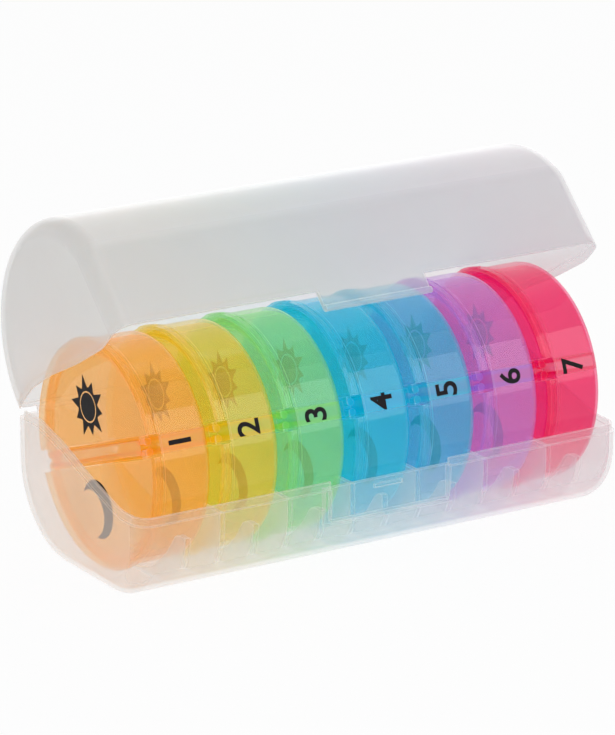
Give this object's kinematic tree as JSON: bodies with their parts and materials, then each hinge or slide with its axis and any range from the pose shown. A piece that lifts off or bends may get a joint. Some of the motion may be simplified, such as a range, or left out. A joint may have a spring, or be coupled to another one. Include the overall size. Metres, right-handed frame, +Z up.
{
  "type": "weekly pill organizer",
  "caption": "Clamshell travel case with a snap latch and living hinge, holding a row of round pill pods, each with a morning and an evening flip lid.",
  "frame": {"origin": "flat underside of the case, straight below the middle of the pods' common axis", "axes": "+X along the case's length, -Y towards the front with the latch, +Z up"},
  "size_m": [0.1504, 0.0754, 0.0932],
  "materials": {
    "case_plastic": "milky translucent polypropylene, satin",
    "pod_orange": "clear tinted orange polystyrene, glossy",
    "pod_yellow": "clear tinted yellow polystyrene, glossy",
    "pod_green": "clear tinted green polystyrene, glossy",
    "pod_azure": "clear tinted azure polystyrene, glossy",
    "pod_turquoise": "clear tinted turquoise polystyrene, glossy",
    "pod_lavender": "clear tinted lavender polystyrene, glossy",
    "pod_pink": "clear tinted pink polystyrene, glossy"
  },
  "bodies": {
    "base": {"case_base": "case_plastic", "hinge_web": "case_plastic"},
    "lid": {"case_lid": "case_plastic"},
    "pod_1": {"pod_1_cup": "pod_orange"},
    "pod_1_am": {"pod_1_am_lid": "pod_orange"},
    "pod_1_pm": {"pod_1_pm_lid": "pod_orange"},
    "pod_2": {"pod_2_cup": "pod_yellow"},
    "pod_2_am": {"pod_2_am_lid": "pod_yellow"},
    "pod_2_pm": {"pod_2_pm_lid": "pod_yellow"},
    "pod_3": {"pod_3_cup": "pod_green"},
    "pod_3_am": {"pod_3_am_lid": "pod_green"},
    "pod_3_pm": {"pod_3_pm_lid": "pod_green"},
    "pod_4": {"pod_4_cup": "pod_azure"},
    "pod_4_am": {"pod_4_am_lid": "pod_azure"},
    "pod_4_pm": {"pod_4_pm_lid": "pod_azure"},
    "pod_5": {"pod_5_cup": "pod_turquoise"},
    "pod_5_am": {"pod_5_am_lid": "pod_turquoise"},
    "pod_5_pm": {"pod_5_pm_lid": "pod_turquoise"},
    "pod_6": {"pod_6_cup": "pod_lavender"},
    "pod_6_am": {"pod_6_am_lid": "pod_lavender"},
    "pod_6_pm": {"pod_6_pm_lid": "pod_lavender"},
    "pod_7": {"pod_7_cup": "pod_pink"},
    "pod_7_am": {"pod_7_am_lid": "pod_pink"},
    "pod_7_pm": {"pod_7_pm_lid": "pod_pink"}
  },
  "joints": [
    {"name": "lid_hinge", "type": "hinge", "parent": "base", "child": "lid", "pos_m": [0, 0.032, 0.0358], "axis": [-1, 0, 0], "range_deg": [-45.6, 70]},
    {"name": "pod_1_roll", "type": "hinge", "parent": "base", "child": "pod_1", "pos_m": [-0.0612, 0, 0.0321], "axis": [1, 0, 0], "continuous": true},
    {"name": "pod_1_am_flip", "type": "hinge", "parent": "pod_1", "child": "pod_1_am", "pos_m": [-0.06855, 0.00045, 0.03337], "axis": [0, -0.9426, 0.3338], "range_deg": [0, 1.3]},
    {"name": "pod_1_pm_flip", "type": "hinge", "parent": "pod_1", "child": "pod_1_pm", "pos_m": [-0.06855, -0.00045, 0.03083], "axis": [0, 0.9426, -0.3338], "range_deg": [0, 1.3]},
    {"name": "pod_2_roll", "type": "hinge", "parent": "base", "child": "pod_2", "pos_m": [-0.0408, 0, 0.0321], "axis": [1, 0, 0], "continuous": true},
    {"name": "pod_2_am_flip", "type": "hinge", "parent": "pod_2", "child": "pod_2_am", "pos_m": [-0.04815, 0.00045, 0.03337], "axis": [0, -0.9426, 0.3338], "range_deg": [0, 1.3]},
    {"name": "pod_2_pm_flip", "type": "hinge", "parent": "pod_2", "child": "pod_2_pm", "pos_m": [-0.04815, -0.00045, 0.03083], "axis": [0, 0.9426, -0.3338], "range_deg": [0, 1.3]},
    {"name": "pod_3_roll", "type": "hinge", "parent": "base", "child": "pod_3", "pos_m": [-0.0204, 0, 0.0321], "axis": [1, 0, 0], "continuous": true},
    {"name": "pod_3_am_flip", "type": "hinge", "parent": "pod_3", "child": "pod_3_am", "pos_m": [-0.02775, 0.00045, 0.03337], "axis": [0, -0.9426, 0.3338], "range_deg": [0, 1.3]},
    {"name": "pod_3_pm_flip", "type": "hinge", "parent": "pod_3", "child": "pod_3_pm", "pos_m": [-0.02775, -0.00045, 0.03083], "axis": [0, 0.9426, -0.3338], "range_deg": [0, 1.3]},
    {"name": "pod_4_roll", "type": "hinge", "parent": "base", "child": "pod_4", "pos_m": [0, 0, 0.0321], "axis": [1, 0, 0], "continuous": true},
    {"name": "pod_4_am_flip", "type": "hinge", "parent": "pod_4", "child": "pod_4_am", "pos_m": [-0.00735, 0.00045, 0.03337], "axis": [0, -0.9426, 0.3338], "range_deg": [0, 1.3]},
    {"name": "pod_4_pm_flip", "type": "hinge", "parent": "pod_4", "child": "pod_4_pm", "pos_m": [-0.00735, -0.00045, 0.03083], "axis": [0, 0.9426, -0.3338], "range_deg": [0, 1.3]},
    {"name": "pod_5_roll", "type": "hinge", "parent": "base", "child": "pod_5", "pos_m": [0.0204, 0, 0.0321], "axis": [1, 0, 0], "continuous": true},
    {"name": "pod_5_am_flip", "type": "hinge", "parent": "pod_5", "child": "pod_5_am", "pos_m": [0.01305, 0.00045, 0.03337], "axis": [0, -0.9426, 0.3338], "range_deg": [0, 1.3]},
    {"name": "pod_5_pm_flip", "type": "hinge", "parent": "pod_5", "child": "pod_5_pm", "pos_m": [0.01305, -0.00045, 0.03083], "axis": [0, 0.9426, -0.3338], "range_deg": [0, 1.3]},
    {"name": "pod_6_roll", "type": "hinge", "parent": "base", "child": "pod_6", "pos_m": [0.0408, 0, 0.0321], "axis": [1, 0, 0], "continuous": true},
    {"name": "pod_6_am_flip", "type": "hinge", "parent": "pod_6", "child": "pod_6_am", "pos_m": [0.03345, 0.00045, 0.03337], "axis": [0, -0.9426, 0.3338], "range_deg": [0, 1.3]},
    {"name": "pod_6_pm_flip", "type": "hinge", "parent": "pod_6", "child": "pod_6_pm", "pos_m": [0.03345, -0.00045, 0.03083], "axis": [0, 0.9426, -0.3338], "range_deg": [0, 1.3]},
    {"name": "pod_7_roll", "type": "hinge", "parent": "base", "child": "pod_7", "pos_m": [0.0612, 0, 0.0321], "axis": [1, 0, 0], "continuous": true},
    {"name": "pod_7_am_flip", "type": "hinge", "parent": "pod_7", "child": "pod_7_am", "pos_m": [0.05385, 0.00045, 0.03337], "axis": [0, -0.9426, 0.3338], "range_deg": [0, 1.3]},
    {"name": "pod_7_pm_flip", "type": "hinge", "parent": "pod_7", "child": "pod_7_pm", "pos_m": [0.05385, -0.00045, 0.03083], "axis": [0, 0.9426, -0.3338], "range_deg": [0, 1.3]}
  ]
}
